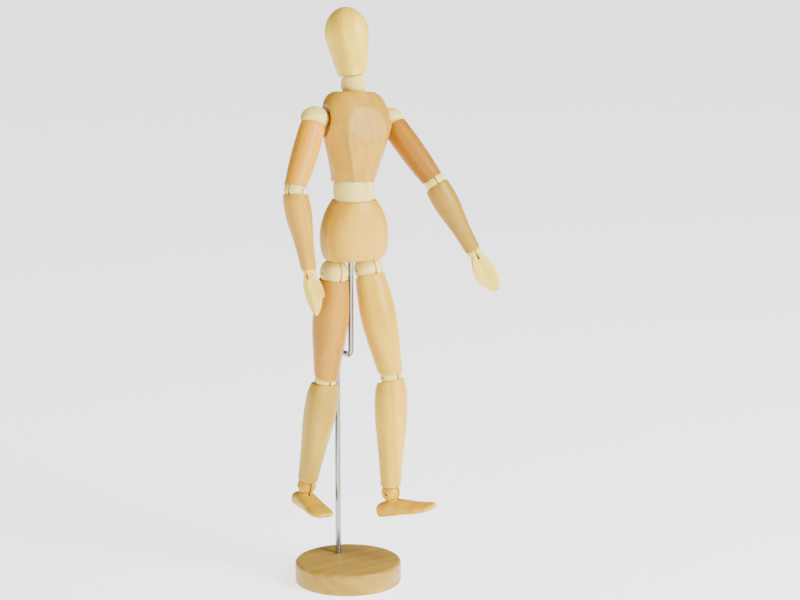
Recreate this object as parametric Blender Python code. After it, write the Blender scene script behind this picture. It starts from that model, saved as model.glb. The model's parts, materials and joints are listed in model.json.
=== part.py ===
"""Jointed wooden artist's mannequin on a bent steel stand rod and a round wooden base.

Metres, +Z up. The origin is the centre of the base's underside, the figure faces -Y and its
left side is +X. Every limb hangs down its own -Z axis from the centre of its joint ball. The
figure is modelled in a walking pose: the REST_ angles below turn the joints into it.
"""
import math

import bpy
from mathutils import Matrix, Vector

MM = 0.001
SIDES = {"left": 1, "right": -1}        # the figure's own sides, +X and -X

# Base and stand (millimetres, as all lengths below)
BASE_RADIUS = 30.0
BASE_HEIGHT = 12.0
BASE_EDGE = 1.6
ROD_RADIUS = 1.6
ROD_HOLE_RADIUS = 1.95
ROD_X = 2.0
ROD_FOOT = (ROD_X, 13.8, 2.5)           # lower end, in the base
CRANK_HEIGHT = 131.0
ROD_TOP_Y = -0.7
ROD_TOP_Z = 197.2
ROD_BEND = 3.4

# Trunk
WAIST = (ROD_X, -4.5, 224.8)            # centre of the waist barrel
BARREL_RADIUS = 11.3
WAIST_CUP_RADIUS = 12.35
HIP = (11.2, 3.0, -45.1)                # from the waist, mirrored for the right side
SHOULDER = (24.0, 1.5, 39.2)
NECK = (0.0, 0.6, 58.4)
NECK_BALL_RADIUS = 7.0
NECK_CUP_RADIUS = 7.35

# Limb lengths, from joint centre to joint centre
UPPER_ARM = 44.0
FOREARM = 45.0
THIGH = 61.5
CALF = 68.4

# Joint balls
SHOULDER_BALL = (8.3, 6.75)             # half length along X, radius across it
ELBOW_BALL = 5.55
WRIST_BALL = 4.0
HIP_BALL = 8.0
KNEE_BALL = 6.1
ANKLE_BALL = 5.3
CUP_GAP = 0.3

# Kerfs, pins and wire
KERF_HALF = 0.65
GROOVE_DEPTH = 1.2
WEB_START = 2.1
PIN_RADIUS = 0.6
PIN_HOLE_RADIUS = 0.95
PIN_RECESS = 1.0
PIN_STOP = 6.1                          # the shoulder pin's hole ends here, short of the front
WIRE_RADIUS = 0.25
EYE_RADIUS = 1.15
EYE_OFFSET = 0.33                       # two eyes lie side by side on one pin
EYE_CLEARANCE = EYE_RADIUS + WIRE_RADIUS + 0.4
BORE_RADIUS = 2.1
COIL_RADIUS = 1.5
COIL_TURNS = 5
HOOK_REACH = 11.5                       # from the ball's centre to the hook's head

# Rest angles, in degrees
REST_WAIST = {"turn": 0.0, "bend": -7.5, "tilt": 5.0}
REST_NECK = {"turn": 0.0, "nod": -3.0, "tilt": -7.0}
REST_ARM = {
    "left": {"swing": 34.2, "raise": 19.4, "twist": 149.1, "bend": 28.5, "turn": 0.0, "wrist": 0.0},
    "right": {"swing": 14.0, "raise": 25.4, "twist": 119.0, "bend": 46.6, "turn": 0.0, "wrist": 0.0},
}
REST_LEG = {
    "left": {"spread": 3.9, "swing": 16.0, "twist": 7.0, "bend": 19.1, "turn": 21.0, "ankle": 16.0},
    "right": {"spread": 3.1, "swing": -3.8, "twist": -8.3, "bend": 12.7, "turn": -3.3, "ankle": 16.0},
}

LACQUERED = {"base": (0.50, 0.34, 0.16), "pelvis": (0.66, 0.45, 0.19), "chest": (0.70, 0.48, 0.22),
             "head": (0.77, 0.63, 0.37), "left_upper_arm": (0.56, 0.25, 0.05),
             "right_upper_arm": (0.65, 0.40, 0.14), "left_forearm": (0.66, 0.49, 0.24),
             "right_forearm": (0.64, 0.42, 0.16), "left_thigh": (0.66, 0.47, 0.20),
             "right_thigh": (0.62, 0.36, 0.11), "left_calf": (0.70, 0.53, 0.26),
             "right_calf": (0.66, 0.49, 0.23), "left_foot": (0.66, 0.42, 0.15),
             "right_foot": (0.62, 0.43, 0.18)}
RAW_WOOD = (0.77, 0.68, 0.49)
STEEL = (0.56, 0.57, 0.58)

for scene_object in list(bpy.data.objects):
    bpy.data.objects.remove(scene_object, do_unlink=True)


# ---------------------------------------------------------------- helpers

def make_material(name, colour, roughness, metallic=0.0):
    material = bpy.data.materials.new(name)
    material.use_nodes = True
    shader = material.node_tree.nodes["Principled BSDF"]
    shader.inputs["Base Color"].default_value = (*colour, 1.0)
    shader.inputs["Roughness"].default_value = roughness
    shader.inputs["Metallic"].default_value = metallic
    return material


def finish_for(name):
    if name in LACQUERED:
        return make_material(name + "_wood", LACQUERED[name], 0.3)
    if name.endswith(("pin", "hook", "spring", "rod")):
        return make_material(name + "_steel", STEEL, 0.25, 1.0)
    return make_material(name + "_wood", RAW_WOOD, 0.55)


def place(data, name, parent, at=(0.0, 0.0, 0.0)):
    """Link one object under its parent at a place given in millimetres."""
    piece = bpy.data.objects.new(name, data)
    bpy.context.collection.objects.link(piece)
    piece.parent = parent
    piece.location = Vector(at) * MM
    return piece


def empty(name, parent, at=(0.0, 0.0, 0.0), axis=(0.0, 0.0, 1.0), degrees=0.0):
    """A frame on a joint's axis, turned about that axis by the joint's rest angle."""
    frame = place(None, name, parent, at)
    frame.rotation_euler = Matrix.Rotation(math.radians(degrees), 3, Vector(axis)).to_euler()
    return frame


def add_mesh(name, verts, faces, parent, at=(0.0, 0.0, 0.0), cutter=False):
    mesh = bpy.data.meshes.new(name)
    mesh.from_pydata([Vector(v) * MM for v in verts], [], faces)
    mesh.update()
    piece = place(mesh, name, parent, at)
    if cutter:
        piece.hide_render = True
        piece.display_type = "WIRE"
    else:
        mesh.materials.append(finish_for(name))
        mesh.shade_smooth()
        mesh.set_sharp_from_angle(angle=math.radians(35.0))
    return piece


def rings_to_faces(count, around, closed=False):
    """Quads between successive rings, and end caps unless the last ring meets the first."""
    faces = []
    for i in range(count if closed else count - 1):
        low, high = i * around, (i + 1) % count * around
        for k in range(around):
            after = (k + 1) % around
            faces.append((low + k, low + after, high + after, high + k))
    if not closed:
        faces.append(tuple(range(around))[::-1])
        faces.append(tuple(range((count - 1) * around, count * around)))
    return faces


def lathe(name, outline, parent, around=16, closed=False, at=(0.0, 0.0, 0.0), cutter=False):
    """Turn (radius, z) points about Z: bottom to top, or a closed loop with its outside rising."""
    verts = []
    start = 0.37 if cutter else 0.0     # a cutter's corners never line up with the piece's
    for radius, z in outline:
        for k in range(around):
            turn = math.tau * (k + start) / around
            verts.append((radius * math.cos(turn), radius * math.sin(turn), z))
    return add_mesh(name, verts, rings_to_faces(len(outline), around, closed), parent, at, cutter)


def oval_ring(z, half_width, half_depth, centre_y=0.0, power=2.0, around=24):
    """One level superellipse of a carved block."""
    ring = []
    for k in range(around):
        turn = math.tau * k / around
        c, s = math.cos(turn), math.sin(turn)
        x = math.copysign(abs(c) ** (2.0 / power), c) * half_width
        y = math.copysign(abs(s) ** (2.0 / power), s) * half_depth
        ring.append((x, centre_y + y, z))
    return ring


def loft(name, rings, parent, at=(0.0, 0.0, 0.0), cutter=False):
    verts = [point for ring in rings for point in ring]
    return add_mesh(name, verts, rings_to_faces(len(rings), len(rings[0])), parent, at, cutter)


def boolean(piece, other, operation="DIFFERENCE"):
    modifier = piece.modifiers.new(other.name, "BOOLEAN")
    modifier.operation = operation
    modifier.object = other


def sphere_arc(radius, centre_z, start, end, steps):
    """Points on a circle about (0, centre_z); angles in degrees from +Z."""
    points = []
    for i in range(steps + 1):
        angle = math.radians(start + (end - start) * i / steps)
        points.append((radius * math.sin(angle), centre_z + radius * math.cos(angle)))
    return points


def ball_outline(radius, half_length=None, steps=9):
    """Outline of a ball, or of an egg lengthened along its axis, with small flats as poles."""
    half_length = half_length or radius
    pole = 8.0
    points = []
    for i in range(steps + 1):
        angle = math.radians(180.0 - pole - (180.0 - 2.0 * pole) * i / steps)
        points.append((radius * math.sin(angle), half_length * math.cos(angle)))
    return points


def cylinder(name, radius, bottom, top, parent, at=(0.0, 0.0, 0.0), around=12, cutter=True):
    return lathe(name, [(radius, bottom), (radius, top)], parent, around, at=at, cutter=cutter)


def wire(name, points, parent, at=(0.0, 0.0, 0.0), radius=WIRE_RADIUS, thick=None, resolution=1):
    """A round wire through points in millimetres; thick maps a point's number to a wider radius."""
    curve = bpy.data.curves.new(name, "CURVE")
    curve.dimensions = "3D"
    curve.bevel_depth = radius * MM
    curve.bevel_resolution = resolution
    curve.use_fill_caps = True
    spline = curve.splines.new("POLY")
    spline.points.add(len(points) - 1)
    for number, point in enumerate(points):
        spline.points[number].co = (*(Vector(point) * MM), 1.0)
        spline.points[number].radius = (thick or {}).get(number, 1.0)
    spline.use_smooth = True
    curve.materials.append(finish_for(name))
    return place(curve, name, parent, at)


# ---------------------------------------------------------------- joint details

def eye_points(centre_z, side_offset=0.0, opening=60.0, upwards=False, steps=7):
    """An eye about an X pin, ending where its shank leaves towards -Z (or +Z when upwards)."""
    points = []
    sense = 1.0 if upwards else -1.0
    for i in range(steps + 1):
        angle = math.radians(opening + (360.0 - opening) * i / steps)
        points.append((side_offset, EYE_RADIUS * math.sin(angle),
                       centre_z + sense * EYE_RADIUS * math.cos(angle)))
    return points


def hook_wire(name, parent, ball_radius, side_offset=0.0, quarter_turn=False):
    """Eye on the ball's pin, straight shank down the bore, and a riveted head at its end."""
    head = -HOOK_REACH
    points = eye_points(0.0, side_offset)
    points += [(side_offset, 0.0, -ball_radius * 0.75), (0.0, 0.0, -ball_radius - 1.5)]
    points += [(0.0, 0.0, head + 0.3), (0.0, 0.0, head + 0.2), (0.0, 0.0, head - 0.4)]
    if quarter_turn:
        points = [(y, x, z) for x, y, z in points]
    last = len(points) - 1
    return wire(name, points, parent, thick={last: 3.4, last - 1: 3.4}, resolution=0)


def spring_wire(name, parent, length, side_offset=0.0):
    """Small ring round the hook's shank, a tension coil, and a tail with an eye on the far pin."""
    ring_radius, ring_z = 0.88, 1.0 - HOOK_REACH
    per_turn = 6
    coil_top, coil_bottom = -HOOK_REACH - 0.2, -HOOK_REACH - 12.0
    points = []
    for i in range(per_turn + 1):
        turn = math.tau * i / per_turn
        z = ring_z + 0.55 * (1.0 - i / per_turn)
        points.append((ring_radius * math.cos(turn), ring_radius * math.sin(turn), z))
    steps = COIL_TURNS * per_turn
    for i in range(1, steps + 1):
        turn = math.tau * i / per_turn
        z = coil_top + (coil_bottom - coil_top) * i / steps
        points.append((COIL_RADIUS * math.cos(turn), COIL_RADIUS * math.sin(turn), z))
    points.append((side_offset, 0.0, coil_bottom - 1.5))
    points.append((side_offset, 0.0, 1.0 + EYE_RADIUS - length))
    points += eye_points(-length, side_offset, upwards=True)[::-1]
    return wire(name, points, parent, resolution=0)


def pin(name, parent, ball_radius, axis="X"):
    half = ball_radius - PIN_RECESS
    piece = cylinder(name, PIN_RADIUS, -half, half, parent, around=10, cutter=False)
    piece.rotation_euler = (0.0, math.pi / 2, 0.0) if axis == "X" else (math.pi / 2, 0.0, 0.0)
    return piece


def cut_kerf(piece, radius, open_from, open_to, parent, turn=0.0, hole_span=None):
    """Saw a kerf in the plane across the pin, and leave a web where no wire has to pass.

    Angles run from straight down (0) to the front (90) and up (180), about the pin along X;
    turn swings the whole arrangement about Z. A shallow groove stays all round. The pin's hole
    goes right through unless hole_span gives its two ends.
    """
    reach = radius + 2.0
    disc = cylinder(piece.name + "_kerf", reach, -KERF_HALF, KERF_HALF, parent)
    disc.rotation_euler = (0.0, math.pi / 2, turn)
    outer, start, end = radius - GROOVE_DEPTH, open_to + 9.0, open_from + 351.0
    steps = 5
    arc = []
    for rim in (outer, WEB_START):
        part = []
        for i in range(steps + 1):
            angle = math.radians(start + (end - start) * i / steps)
            part.append((-rim * math.sin(angle), -rim * math.cos(angle)))
        arc += part if rim == outer else part[::-1]
    half = KERF_HALF + 0.25
    verts = [(-half, y, z) for y, z in arc] + [(half, y, z) for y, z in arc]
    count = len(arc)
    faces = [(k, (k + 1) % count, count + (k + 1) % count, count + k) for k in range(count)]
    for k in range(steps):
        low, high = k, count - 1 - k
        faces.append((low, high, high - 1, low + 1))
        faces.append((count + low, count + low + 1, count + high - 1, count + high))
    web = add_mesh(piece.name + "_web", verts, faces, parent, cutter=True)
    web.rotation_euler = (0.0, 0.0, turn)
    hole = cylinder(piece.name + "_pin_hole", PIN_HOLE_RADIUS, *(hole_span or (-reach, reach)), parent)
    hole.rotation_euler = (0.0, math.pi / 2, turn)
    boolean(piece, disc)
    boolean(piece, web, "UNION")
    boolean(piece, hole)


def limb_outline(outer, length, top_cup, bottom_cup):
    """Closed lathe outline of a limb, bored through, with a ball cup in each end.

    outer lists (radius, z) from the top rim down to the bottom rim.
    """
    def cup(radius, centre_z, rim_z, sense):
        rim = math.degrees(math.acos((rim_z - centre_z) / radius * sense))
        bore = math.degrees(math.asin(BORE_RADIUS / radius))
        points = [(r, centre_z + sense * (z - centre_z))
                  for r, z in sphere_arc(radius, centre_z, rim, bore, 4)]
        return points

    rising = outer[::-1]
    top = cup(top_cup, 0.0, outer[0][1], -1.0)
    bottom = cup(bottom_cup, -length, outer[-1][1], 1.0)
    return rising + top + bottom[::-1]


def slant_cut(piece, parent, at_z, flex_side, half_bend, ball_radius, below):
    """Cut a limb's end on a slant, low relief on the side that the joint closes towards."""
    corner = ball_radius + 1.1
    inner = corner / math.tan(math.radians(90.0 - half_bend - 3.0))
    outer = ball_radius * 0.05
    slope = math.atan2(inner - outer, 2.0 * corner)
    middle = (inner + outer) / 2.0
    size = 30.0
    sense = -1.0 if below else 1.0
    verts = [(x, y, z) for z in (0.0, size) for x, y in
             ((-size, -size), (size, -size), (size, size), (-size, size))]
    faces = [(3, 2, 1, 0), (4, 5, 6, 7), (0, 1, 5, 4), (1, 2, 6, 5), (2, 3, 7, 6), (3, 0, 4, 7)]
    box = add_mesh(piece.name + "_slant_" + ("end" if below else "start"), verts, faces, parent,
                   (0.0, 0.0, at_z - sense * middle), cutter=True)
    tilt = -sense * flex_side * slope
    box.rotation_euler = (tilt + (math.pi if below else 0.0), 0.0, 0.0)
    boolean(piece, box)


# ---------------------------------------------------------------- base and stand

def build_base(parent):
    edge = BASE_EDGE * 0.3
    outline = [(BASE_RADIUS - edge, 0.0), (BASE_RADIUS, edge), (BASE_RADIUS, BASE_HEIGHT - BASE_EDGE),
               (BASE_RADIUS - edge, BASE_HEIGHT - edge), (BASE_RADIUS - BASE_EDGE, BASE_HEIGHT)]
    base = lathe("base", outline, parent, around=48)
    hole = cylinder("base_rod_hole", ROD_HOLE_RADIUS, ROD_FOOT[2] - 0.4, BASE_HEIGHT + 5.0, parent,
                    (ROD_FOOT[0], ROD_FOOT[1], 0.0), around=16)
    boolean(base, hole)


def rod_points():
    """Up from the base, forward along the crank, and up again into the pelvis."""
    foot_y, steps = ROD_FOOT[1], 5
    points = [(0.0, 0.0, 0.0)]
    back, front = foot_y - ROD_BEND, ROD_TOP_Y + ROD_BEND
    for i in range(steps + 1):
        angle = math.pi / 2 * i / steps
        points.append((0.0, back - foot_y + ROD_BEND * math.cos(angle),
                       CRANK_HEIGHT - ROD_FOOT[2] + ROD_BEND * (math.sin(angle) - 1.0)))
    for i in range(steps + 1):
        angle = math.pi / 2 * i / steps
        points.append((0.0, front - foot_y - ROD_BEND * math.sin(angle),
                       CRANK_HEIGHT - ROD_FOOT[2] + ROD_BEND * (1.0 - math.cos(angle))))
    points.append((0.0, ROD_TOP_Y - foot_y, ROD_TOP_Z - ROD_FOOT[2]))
    return points


# ---------------------------------------------------------------- trunk and head

PELVIS_LEVELS = [  # height from the waist, half width, half depth
    (-37.4, 16.9, 12.4), (-36.2, 18.2, 13.2), (-32.0, 19.6, 14.0), (-26.0, 20.1, 14.6),
    (-20.0, 19.6, 14.6), (-14.0, 17.7, 14.0), (-9.0, 15.0, 13.2), (-5.9, 12.7, 12.4),
    (-5.0, 11.9, 11.9)]
CHEST_LEVELS = [  # height from the waist, half width, half depth, centre's y
    (5.0, 11.9, 11.9, 0.0), (5.8, 12.5, 12.3, -0.2), (9.0, 13.2, 12.6, -1.0),
    (18.5, 16.4, 13.0, -2.6), (28.0, 19.6, 13.6, -3.8), (34.0, 20.5, 13.6, -3.4),
    (40.0, 20.2, 13.0, -2.2), (45.0, 19.4, 12.2, -1.0), (49.5, 17.7, 10.9, 0.0),
    (52.5, 15.2, 9.6, 0.4), (54.2, 12.0, 8.4, 0.6)]
HEAD_LEVELS = [  # height from the neck ball, half width, half depth
    (4.9, 7.3, 8.2), (10.3, 8.6, 9.8), (15.8, 9.6, 11.1), (21.2, 10.7, 12.3), (27.5, 11.6, 13.4),
    (32.0, 11.1, 12.9), (36.4, 9.4, 10.9), (39.6, 6.7, 7.8), (41.6, 3.7, 4.3), (42.4, 1.2, 1.4)]


def build_pelvis(parent):
    rings = [oval_ring(z, w, d, power=2.15) for z, w, d in PELVIS_LEVELS]
    pelvis = loft("pelvis", rings, parent)
    cup = lathe("pelvis_waist_cup", ball_outline(WAIST_CUP_RADIUS), parent, cutter=True)
    bore = cylinder("pelvis_waist_bore", BORE_RADIUS, -21.5, 0.0, parent)
    top = ROD_TOP_Z - WAIST[2] + 0.4
    rod_hole = cylinder("pelvis_rod_hole", ROD_HOLE_RADIUS, -45.0, top, parent,
                        (0.0, ROD_TOP_Y - WAIST[1], 0.0))
    cutters = [cup, bore, rod_hole]
    for side in SIDES.values():
        hip = (side * HIP[0], HIP[1], HIP[2])
        seat = lathe(f"pelvis_hip_seat_{side}", ball_outline(HIP_BALL + CUP_GAP), parent, at=hip,
                     cutter=True)
        drop = cylinder(f"pelvis_hip_bore_{side}", BORE_RADIUS, 2.0, HIP_SPRING_RISE + 1.6, parent,
                        hip)
        cutters += [seat, drop]
    across = cylinder("pelvis_cross_bore", BORE_RADIUS - 0.1, -HIP[0], HIP[0], parent,
                      (0.0, HIP[1], HIP[2] + HIP_SPRING_RISE))
    across.rotation_euler = (0.0, math.pi / 2, 0.0)
    for cutter in cutters + [across]:
        boolean(pelvis, cutter)
    return pelvis


HIP_SPRING_RISE = 21.1                  # from the hip centres to the cross coil


def build_hip_spring(parent):
    """One wire: a leg down to each hip ball's pin, and a tension coil across the pelvis."""
    x, rise, turns, per_turn = HIP[0], HIP_SPRING_RISE, 6, 6
    end, low = x - 4.5, EYE_CLEARANCE
    points = [(-x, 0.0, low), (-x, 0.0, rise - 1.2), (-x + 1.2, 0.0, rise)]
    steps = turns * per_turn
    for i in range(steps + 1):
        turn = math.tau * i / per_turn
        points.append((-end + 2.0 * end * i / steps, COIL_RADIUS * math.sin(turn),
                       rise + COIL_RADIUS * math.cos(turn)))
    points += [(x - 1.2, 0.0, rise), (x, 0.0, rise - 1.2), (x, 0.0, low)]
    return wire("hip_spring", points, parent, (0.0, HIP[1], HIP[2]), resolution=0)


def centre_spring(name, parent, bottom, top, coil_radius, turns):
    """A straight tension spring on Z with a bent-in tail at each end."""
    per_turn = 6
    steps = turns * per_turn
    points = [(0.0, 0.0, bottom), (0.0, 0.0, bottom + 1.0)]
    for i in range(steps + 1):
        turn = math.tau * i / per_turn
        z = bottom + 2.0 + (top - bottom - 4.0) * i / steps
        points.append((coil_radius * math.cos(turn), coil_radius * math.sin(turn), z))
    points += [(0.0, 0.0, top - 1.0), (0.0, 0.0, top)]
    return wire(name, points, parent, resolution=0)


def build_barrel(parent):
    """The waist barrel, bored and flared so that it can tip over the spring."""
    rim, end = BARREL_RADIUS - 0.45, BARREL_RADIUS - 2.0
    outline = [(9.0, -7.8), (end, -7.4), (rim, -5.0), (BARREL_RADIUS, -1.8),
               (BARREL_RADIUS, 1.8), (rim, 5.0), (end, 7.4), (9.0, 7.8), (4.9, 7.8), (2.6, 0.0),
               (4.9, -7.8)]
    return lathe("waist_barrel", outline, parent, around=32, closed=True)


def build_chest(parent):
    rings = [oval_ring(z, w, d, y, power=2.2) for z, w, d, y in CHEST_LEVELS]
    chest = loft("chest", rings, parent)
    cup = lathe("chest_waist_cup", ball_outline(WAIST_CUP_RADIUS), parent, cutter=True)
    neck_cup = lathe("chest_neck_cup", ball_outline(NECK_CUP_RADIUS), parent, at=NECK, cutter=True)
    neck_bore = cylinder("chest_neck_bore", BORE_RADIUS, -12.5, 0.0, parent, NECK)
    cross = cylinder("chest_cross_bore", BORE_RADIUS, -SHOULDER[0], SHOULDER[0], parent,
                     (0.0, SHOULDER[1], SHOULDER[2]))
    cross.rotation_euler = (0.0, math.pi / 2, 0.0)
    cutters = [cup, neck_cup, neck_bore, cross]
    for side in SIDES.values():
        half, radius = SHOULDER_BALL
        seat = lathe(f"chest_seat_{side}", ball_outline(radius + CUP_GAP, half + CUP_GAP), parent,
                     at=(side * SHOULDER[0], SHOULDER[1], SHOULDER[2]), cutter=True)
        seat.rotation_euler = (0.0, math.pi / 2, 0.0)
        dish = lathe(f"chest_dish_{side}", [(4.0, -7.4), (24.0, 2.4)], parent, 24,
                     at=(side * SHOULDER[0], SHOULDER[1], SHOULDER[2]), cutter=True)
        dish.rotation_euler = (0.0, side * math.pi / 2, 0.0)
        cutters += [seat, dish]
    for cutter in cutters:
        boolean(chest, cutter)
    return chest


def build_shoulder_spring(parent):
    """Tension coil through the chest, with a straight end into each shoulder ball."""
    reach = SHOULDER[0] - EYE_CLEARANCE
    end, turns, per_turn = 11.0, 8, 6
    steps = turns * per_turn
    points = [(-reach, 0.0, 0.0), (-end - 1.5, 0.0, 0.0)]
    for i in range(steps + 1):
        turn = math.tau * i / per_turn
        points.append((-end + 2.0 * end * i / steps, COIL_RADIUS * math.cos(turn),
                       COIL_RADIUS * math.sin(turn)))
    points += [(end + 1.5, 0.0, 0.0), (reach, 0.0, 0.0)]
    return wire("shoulder_spring", points, parent, (0.0, SHOULDER[1], SHOULDER[2]), resolution=0)


def build_neck_ball(parent):
    ball = lathe("neck_ball", ball_outline(NECK_BALL_RADIUS, steps=12), parent, around=24)
    bore = lathe("neck_ball_bore", [(3.9, -8.0), (1.9, 0.0), (3.9, 8.0)], parent, 12, cutter=True)
    boolean(ball, bore)
    return ball


def build_head(parent):
    rings = [oval_ring(z, w, d) for z, w, d in HEAD_LEVELS]
    head = loft("head", rings, parent)
    cup = lathe("head_neck_cup", ball_outline(NECK_CUP_RADIUS), parent, cutter=True)
    boolean(head, cup)
    return head


# ---------------------------------------------------------------- arms and legs

UPPER_ARM_OUTER = [(6.9, -4.9), (7.1, -7.0), (7.2, -14.0), (7.1, -24.0), (6.7, -33.0),
                   (6.15, -40.0), (6.0, -43.2)]
FOREARM_OUTER = [(6.0, -0.6), (6.8, -3.2), (7.2, -7.5), (7.2, -14.0), (6.6, -20.0), (5.6, -27.0),
                 (4.8, -35.0), (4.45, -41.0), (4.4, -44.2)]
THIGH_OUTER = [(8.1, -4.0), (8.6, -6.6), (9.4, -14.0), (10.0, -23.0), (9.9, -31.0), (9.1, -40.0),
               (8.0, -49.0), (7.0, -57.0), (6.8, -61.0)]
CALF_OUTER = [(6.8, -0.4), (7.6, -3.2), (8.8, -8.5), (9.2, -15.0), (9.0, -24.0), (8.3, -33.0),
              (7.2, -44.0), (6.3, -55.0), (5.9, -61.0), (5.85, -64.2)]
HAND_LEVELS = [  # height, half width, half thickness, shift across the palm
    (-3.0, 3.2, 3.0, 0.0), (-6.0, 4.4, 3.3, 0.0), (-10.5, 5.9, 3.5, 0.3), (-15.0, 6.4, 3.4, 0.3),
    (-19.8, 5.5, 2.9, 0.0), (-24.2, 3.7, 2.2, -0.2), (-27.0, 1.6, 1.2, -0.2)]
FOOT_LEVELS = [  # distance behind the ankle, half width, sole, instep
    (10.4, 3.2, -12.7, -7.6), (9.4, 4.8, -13.4, -6.1), (6.5, 5.8, -13.6, -5.1),
    (0.0, 6.0, -13.6, -4.4), (-7.0, 6.2, -13.6, -5.9), (-13.0, 6.8, -13.6, -7.7),
    (-18.5, 7.0, -13.5, -8.7), (-23.0, 5.9, -13.0, -9.3), (-25.6, 3.4, -12.3, -9.9)]
HALF_BEND = 32.0                        # each half of an elbow's or a knee's bend


def build_arm(side_name, chest_frame):
    side, rest = SIDES[side_name], REST_ARM[side_name]
    socket = (side * SHOULDER[0], SHOULDER[1], SHOULDER[2])
    half, radius = SHOULDER_BALL
    bore_turn = side * math.pi / 2

    swing = empty(f"joint_{side_name}_shoulder_swing", chest_frame, socket, (-1, 0, 0), rest["swing"])
    ball = lathe(f"{side_name}_shoulder_ball", ball_outline(radius, half), swing, around=16)
    ball.rotation_euler = (0.0, math.pi / 2, 0.0)
    open_end = half + 2.0
    hole_span = (-PIN_STOP, open_end) if side > 0 else (-open_end, PIN_STOP)
    cut_kerf(ball, half, 8.0, 106.0, swing, bore_turn, hole_span)
    bore = cylinder(f"{side_name}_shoulder_bore", 0.9, 1.3, half + 2.0, swing)
    bore.rotation_euler = (0.0, -bore_turn, 0.0)
    boolean(ball, bore)
    pin(f"{side_name}_shoulder_pin", swing, radius, axis="Y")

    lift = empty(f"joint_{side_name}_shoulder_raise", swing, axis=(0, -side, 0), degrees=rest["raise"])
    hook_wire(f"{side_name}_upper_arm_hook", lift, radius, quarter_turn=True)

    twist = empty(f"joint_{side_name}_upper_arm_twist", lift, degrees=rest["twist"])
    outline = limb_outline(UPPER_ARM_OUTER, UPPER_ARM, half + 0.2, ELBOW_BALL + CUP_GAP)
    arm = lathe(f"{side_name}_upper_arm", outline, twist, closed=True)
    slant_cut(arm, twist, -UPPER_ARM, -1.0, HALF_BEND, ELBOW_BALL, below=True)
    spring_wire(f"{side_name}_upper_arm_spring", twist, UPPER_ARM, EYE_OFFSET)

    upper = empty(f"joint_{side_name}_elbow_upper", twist, (0, 0, -UPPER_ARM), (-1, 0, 0),
                  rest["bend"] / 2)
    ball = lathe(f"{side_name}_elbow_ball", ball_outline(ELBOW_BALL), upper, around=16)
    cut_kerf(ball, ELBOW_BALL, -9.0, 189.0, upper)
    pin(f"{side_name}_elbow_pin", upper, ELBOW_BALL)

    lower = empty(f"joint_{side_name}_elbow_lower", upper, axis=(-1, 0, 0), degrees=rest["bend"] / 2)
    hook_wire(f"{side_name}_forearm_hook", lower, ELBOW_BALL, -EYE_OFFSET)
    outline = limb_outline(FOREARM_OUTER, FOREARM, ELBOW_BALL + CUP_GAP, WRIST_BALL + CUP_GAP)
    forearm = lathe(f"{side_name}_forearm", outline, lower, closed=True)
    slant_cut(forearm, lower, 0.0, -1.0, HALF_BEND, ELBOW_BALL, below=False)

    turn = empty(f"joint_{side_name}_wrist_twist", lower, degrees=rest["turn"])
    spring_wire(f"{side_name}_forearm_spring", turn, FOREARM)
    wrist = empty(f"joint_{side_name}_wrist_bend", turn, (0, 0, -FOREARM), (-1, 0, 0), rest["wrist"])
    build_hand(side_name, side, wrist)


def build_hand(side_name, side, wrist):
    """A mitten with its wrist ball in one piece."""
    rings = []
    for i in range(7):
        angle = math.radians(168.0 - 130.0 * i / 6)
        radius, z = WRIST_BALL * math.sin(angle), -WRIST_BALL * math.cos(angle)
        rings.append(oval_ring(z, radius, radius, around=16))
    for z, w, t, shift in HAND_LEVELS:
        ring = oval_ring(z, w, t, around=16)
        rings.append([(x + side * shift, y, z) for x, y, z in ring])
    rings.reverse()
    hand = loft(f"{side_name}_hand", rings, wrist)
    cut_kerf(hand, WRIST_BALL, 130.0, 230.0, wrist)
    pin(f"{side_name}_wrist_pin", wrist, WRIST_BALL)


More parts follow.
